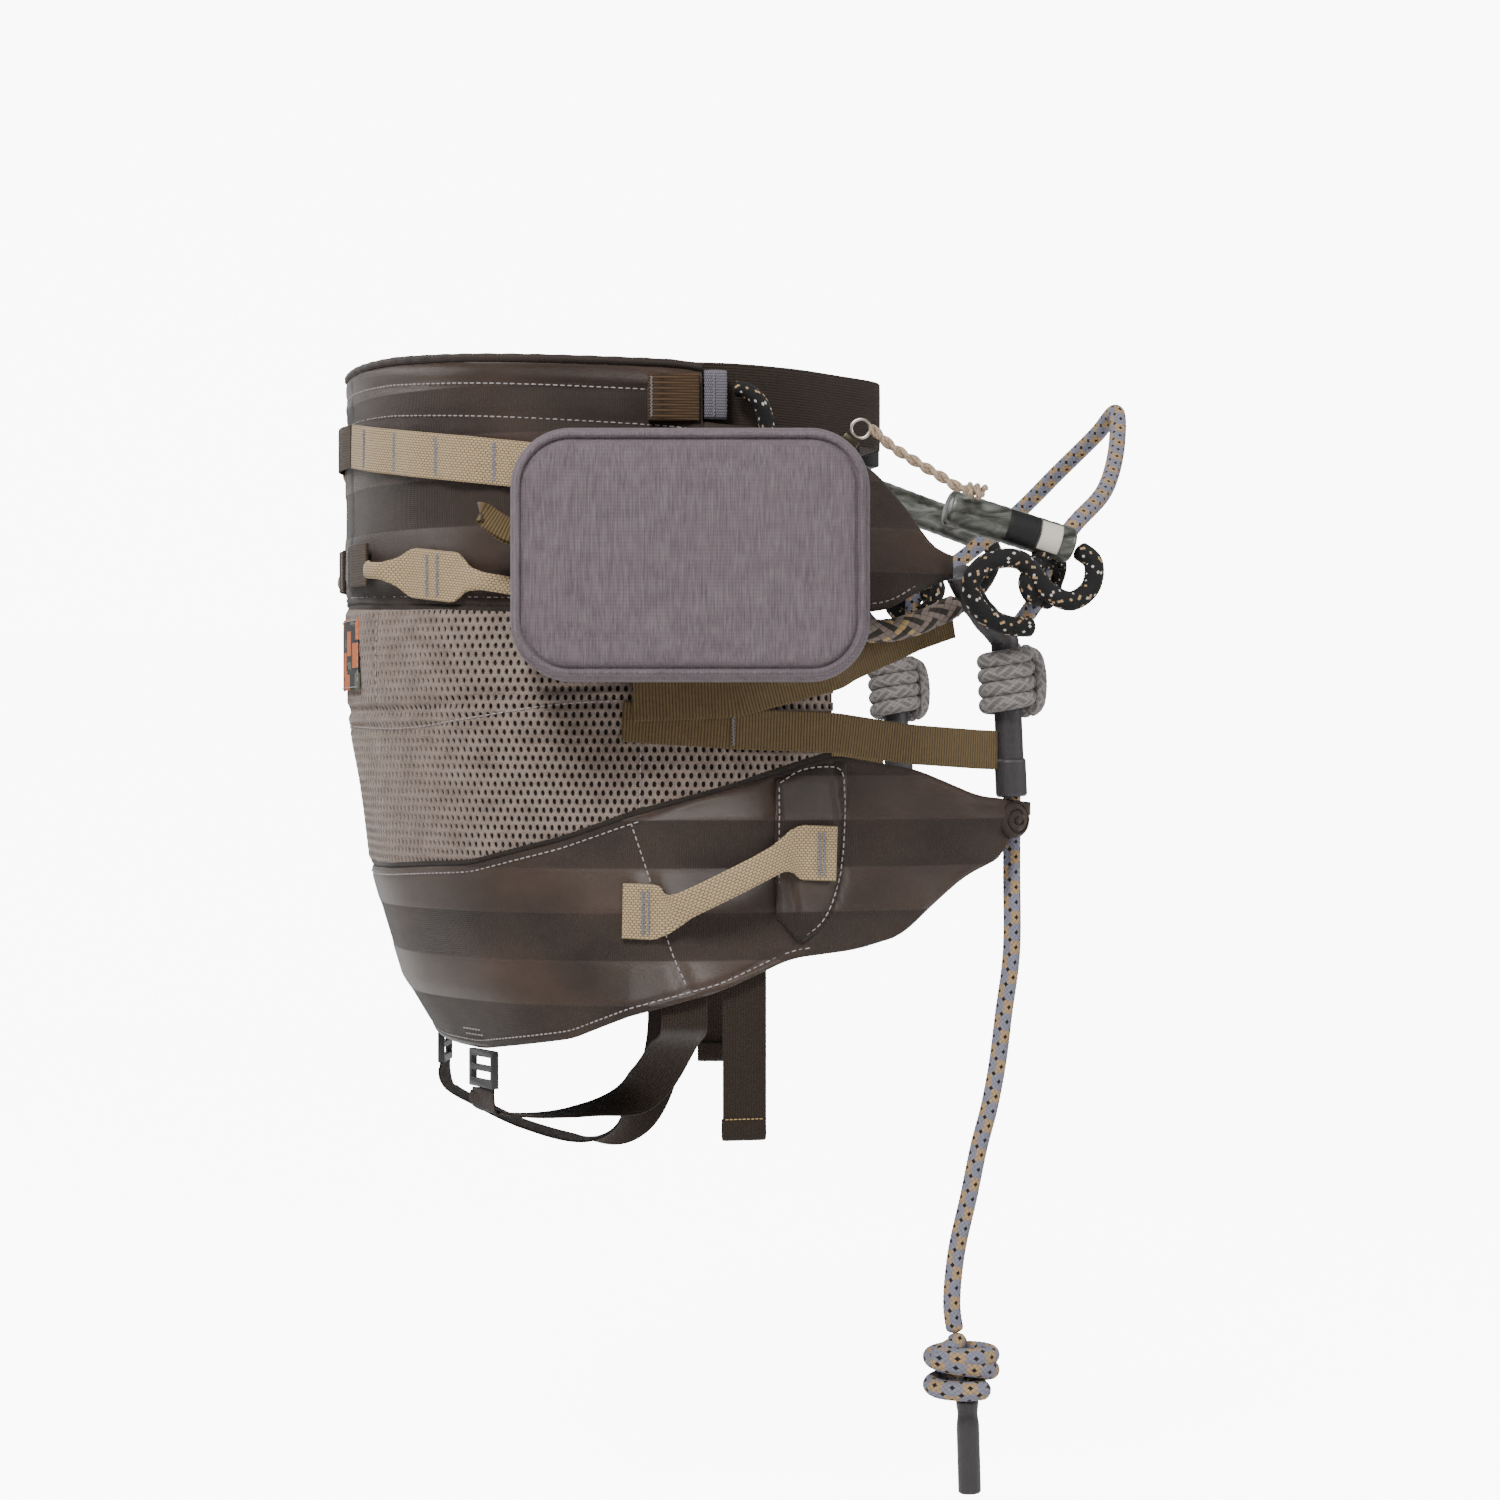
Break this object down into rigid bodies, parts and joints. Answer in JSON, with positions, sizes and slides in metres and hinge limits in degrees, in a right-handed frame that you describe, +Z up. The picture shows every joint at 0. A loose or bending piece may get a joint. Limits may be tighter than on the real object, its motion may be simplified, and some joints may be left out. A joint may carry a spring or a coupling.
{
  "type": "climbing saddle harness",
  "caption": "Two-panel sit harness with mesh back, waist belt, leg straps, rope bridge in friction hitches, side pouch and grip handles.",
  "frame": {"origin": "centre of the waist ring at the height of the daisy chain, where the wearer's waist holds the harness up", "axes": "+X wearer's front, +Y wearer's left, +Z up"},
  "size_m": [0.4747, 0.4472, 0.6403],
  "materials": {
    "nylon_brown": "woven nylon webbing cloth, satin bands",
    "mesh_taupe": "open spacer mesh",
    "webbing_tan": "woven webbing",
    "webbing_olive": "woven webbing",
    "webbing_grey": "woven webbing",
    "webbing_brown": "woven webbing",
    "pouch_cloth": "packcloth",
    "rope_bridge": "braided rope with tan and black tracers",
    "rope_black": "braided rope with gold and white flecks",
    "cord_grey": "braided cord",
    "sheath_black": "smooth tubular sheath",
    "sleeve_camo": "satin shrink sleeve",
    "paracord_tan": "braided cord",
    "buckle_black": "moulded nylon",
    "patch_orange": "woven patch",
    "metal": "satin steel"
  },
  "bodies": {
    "saddle": {"waist_panel": "nylon_brown", "seat_panel": "nylon_brown", "waist_edge_binding": "nylon_brown", "seat_side_patch_right": "nylon_brown", "seat_side_patch_left": "nylon_brown", "mesh_panel": "mesh_taupe", "lineman_sleeve_right": "mesh_taupe", "lineman_sleeve_left": "mesh_taupe", "daisy_chain_right": "webbing_tan", "daisy_chain_left": "webbing_tan", "gear_loop_right": "webbing_tan", "gear_loop_left": "webbing_tan", "grip_handle_right": "webbing_tan", "grip_handle_left": "webbing_tan", "lower_side_strap_right": "webbing_olive", "lower_side_strap_left": "webbing_olive", "upper_side_strap_right": "webbing_olive", "upper_side_strap_left": "webbing_olive", "pouch_side_loop": "webbing_olive", "lineman_anchor_right": "webbing_grey", "lineman_anchor_left": "webbing_grey", "pouch_hanger_rear": "webbing_grey", "pouch_hanger_front": "webbing_grey", "back_webbing_tab": "webbing_brown", "keeper_right": "webbing_brown", "keeper_left": "webbing_brown", "gear_loop_tab_right": "webbing_brown", "gear_loop_tab_left": "webbing_brown", "waist_belt_right": "webbing_brown", "waist_belt_left": "webbing_brown", "leg_strap_right": "webbing_brown", "leg_strap_left": "webbing_brown", "pouch_body": "pouch_cloth", "bridge_rope_tail": "rope_bridge", "stopper_knot": "rope_bridge", "lineman_rope_right": "rope_black", "lineman_rope_left": "rope_black", "bridge_sheath_right": "sheath_black", "bridge_sheath_left": "sheath_black", "rope_end_sleeve": "sheath_black", "waist_buckle_socket": "buckle_black", "rear_patch": "patch_orange"},
    "bridge": {"bridge_rope": "rope_bridge", "eye_sleeve_right": "sleeve_camo", "eye_sleeve_left": "sleeve_camo", "hitch_cord_right": "rope_black", "hitch_cord_left": "rope_black"},
    "hitch_right": {"tube_hitch_right": "cord_grey"},
    "hitch_left": {"tube_hitch_left": "cord_grey"},
    "buckle_plug": {"waist_buckle_plug": "buckle_black"},
    "prong_upper": {"waist_buckle_prong_upper": "buckle_black"},
    "prong_lower": {"waist_buckle_prong_lower": "buckle_black"},
    "leg_buckle_right": {"leg_buckle_right": "buckle_black"},
    "leg_buckle_left": {"leg_buckle_left": "buckle_black"},
    "strap_tail_right": {"strap_tail_right": "webbing_brown"},
    "strap_tail_left": {"strap_tail_left": "webbing_brown"},
    "pouch_lid": {"pouch_front": "pouch_cloth"},
    "zip_slider": {"zipper_slider": "metal"},
    "zip_pull": {"zipper_pull_ring": "metal", "zipper_pull_cord": "paracord_tan"}
  },
  "joints": [
    {"name": "bridge_swing", "type": "hinge", "parent": "saddle", "child": "bridge", "pos_m": [0.2115, 0, -0.106], "axis": [0, 1, 0], "range_deg": [-8, 45]},
    {"name": "hitch_slide_right", "type": "slide", "parent": "saddle", "child": "hitch_right", "axis": [0.057, 0.0365, -0.9977], "range_m": [0, 0.006]},
    {"name": "hitch_slide_left", "type": "slide", "parent": "saddle", "child": "hitch_left", "axis": [0.057, -0.0365, -0.9977], "range_m": [0, 0.006]},
    {"name": "waist_buckle_release", "type": "slide", "parent": "saddle", "child": "buckle_plug", "axis": [0, -1, 0], "range_m": [0, 0.03]},
    {"name": "prong_upper_press", "type": "hinge", "parent": "buckle_plug", "child": "prong_upper", "pos_m": [0.145, -0.0194, 0.034], "axis": [1, 0, 0], "range_deg": [-6, 0], "stiffness_Nm_per_rad": 0.05},
    {"name": "prong_lower_press", "type": "hinge", "parent": "buckle_plug", "child": "prong_lower", "pos_m": [0.145, -0.0194, -0.002], "axis": [1, 0, 0], "range_deg": [0, 6], "stiffness_Nm_per_rad": 0.05},
    {"name": "pouch_open", "type": "hinge", "parent": "saddle", "child": "pouch_lid", "pos_m": [0.00628, -0.20742, -0.1374], "axis": [0.9781, -0.2079, 0], "range_deg": [0, 70]},
    {"name": "zip_run", "type": "hinge", "parent": "saddle", "child": "zip_slider", "pos_m": [0.06793, -0.22037, -0.0354], "axis": [0.2079, 0.9781, 0], "range_deg": [-38, 48]},
    {"name": "zip_pull_swing", "type": "hinge", "parent": "zip_slider", "child": "zip_pull", "pos_m": [0.09063, -0.2252, -0.00775], "axis": [0.2079, 0.9781, 0], "range_deg": [-18, 18]},
    {"name": "leg_buckle_tilt_right", "type": "hinge", "parent": "saddle", "child": "leg_buckle_right", "pos_m": [-0.08798, -0.08667, -0.3427], "axis": [-0.2771, 0.9608, 0], "range_deg": [0, 25]},
    {"name": "strap_tail_swing_right", "type": "hinge", "parent": "saddle", "child": "strap_tail_right", "pos_m": [0.04367, -0.17043, -0.29005], "axis": [0.9992, 0.0407, 0], "range_deg": [0, 40]},
    {"name": "leg_buckle_tilt_left", "type": "hinge", "parent": "saddle", "child": "leg_buckle_left", "pos_m": [-0.08798, 0.08667, -0.3427], "axis": [0.2771, 0.9608, 0], "range_deg": [0, 25]},
    {"name": "strap_tail_swing_left", "type": "hinge", "parent": "saddle", "child": "strap_tail_left", "pos_m": [0.09569, 0.16362, -0.2761], "axis": [-0.9761, 0.2175, 0], "range_deg": [0, 40]}
  ],
  "couplings": [
    {"joint": "prong_lower_press", "follows": "prong_upper_press", "ratio": -1}
  ]
}
